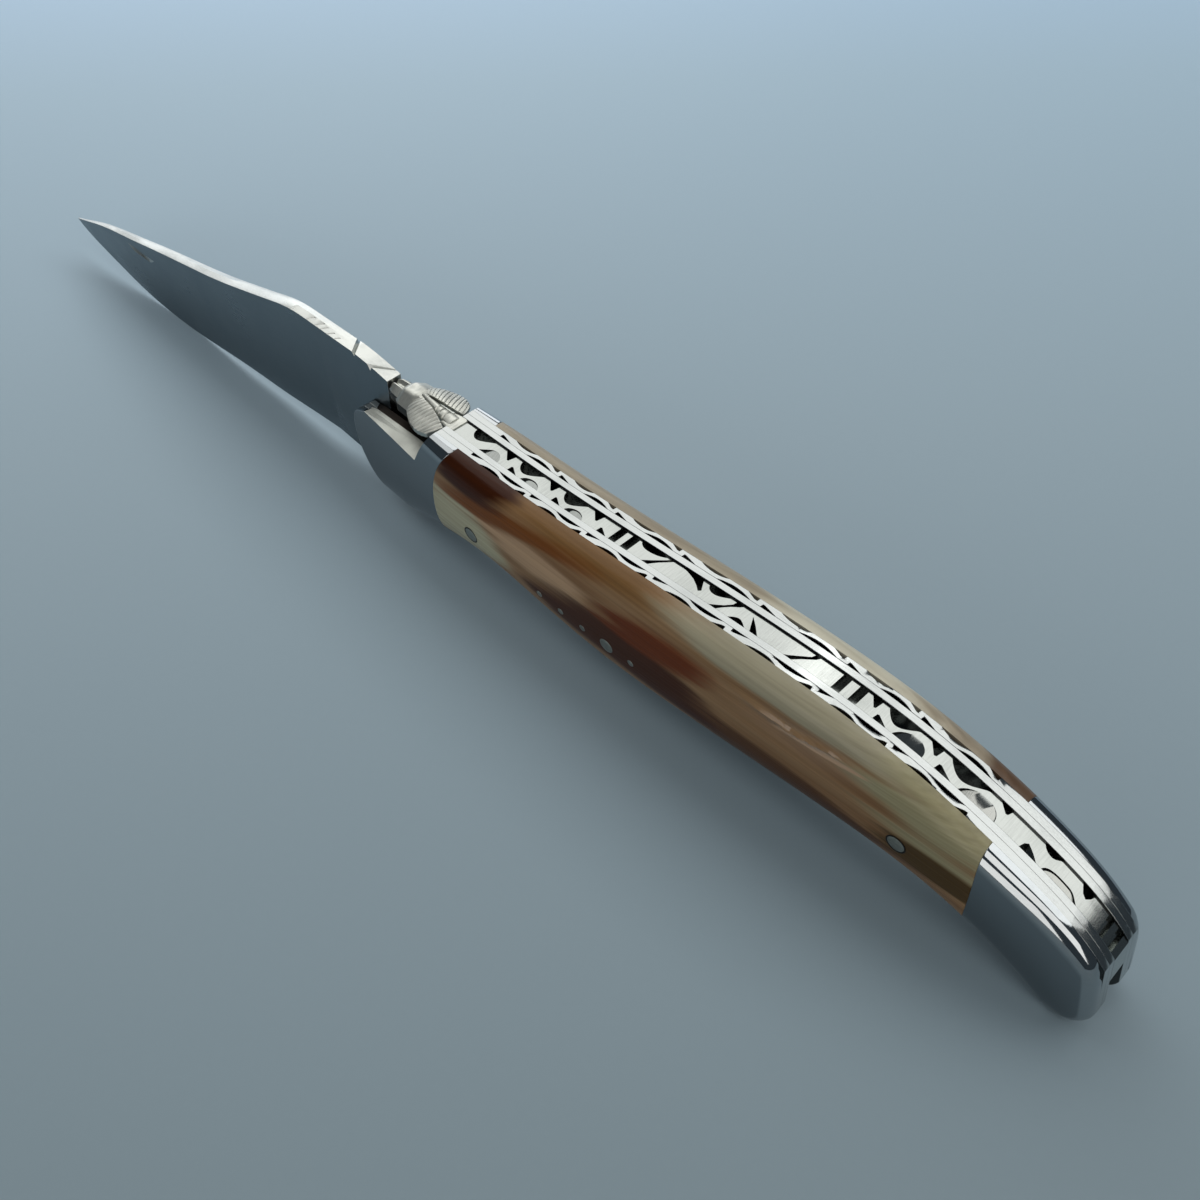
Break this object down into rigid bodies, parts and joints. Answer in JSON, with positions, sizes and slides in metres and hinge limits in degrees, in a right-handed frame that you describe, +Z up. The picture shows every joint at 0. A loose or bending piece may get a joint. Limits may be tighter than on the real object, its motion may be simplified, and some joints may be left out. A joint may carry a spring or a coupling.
{
  "type": "folding pocket knife",
  "caption": "Slip-joint folding pocket knife with a pointed blade, horn scales, steel bolsters, double filed liners and a filed back spring that ends in a bee.",
  "frame": {"origin": "on the floor under the middle of the open knife's box", "axes": "+X from the blade's tip to the butt, +Y to the left side with the cross of pins, +Z up to the back with the bee"},
  "size_m": [0.2124, 0.0132, 0.023],
  "materials": {
    "blade_steel": "fine satin, ground lengthways",
    "spring_steel": "polished by hand after filing",
    "liner_steel": "polished edges",
    "bolster_steel": "mirror polished",
    "pin_steel": "peened and polished flush",
    "horn": "polished horn, brown to grey-beige streaks along the length"
  },
  "bodies": {
    "handle": {"back_spring": "spring_steel", "bee": "spring_steel", "inner_liner_left": "liner_steel", "inner_liner_right": "liner_steel", "outer_liner_left": "liner_steel", "outer_liner_right": "liner_steel", "front_bolster_left": "bolster_steel", "front_bolster_right": "bolster_steel", "rear_bolster_left": "bolster_steel", "rear_bolster_right": "bolster_steel", "scale_left": "horn", "scale_right": "horn", "pivot_pin": "pin_steel", "spring_pin": "pin_steel", "tail_pin": "pin_steel", "front_rivet_left": "pin_steel", "front_rivet_right": "pin_steel", "centre_rivet_left": "pin_steel", "centre_rivet_right": "pin_steel", "rear_rivet_left": "pin_steel", "rear_rivet_right": "pin_steel", "cross_pins": "pin_steel"},
    "blade": {"blade": "blade_steel"}
  },
  "joints": [
    {"name": "blade_pivot", "type": "hinge", "parent": "handle", "child": "blade", "pos_m": [-0.00383, 0, 0.00997], "axis": [0, -1, 0], "range_deg": [0, 177], "deforming": ["back_spring"]}
  ]
}
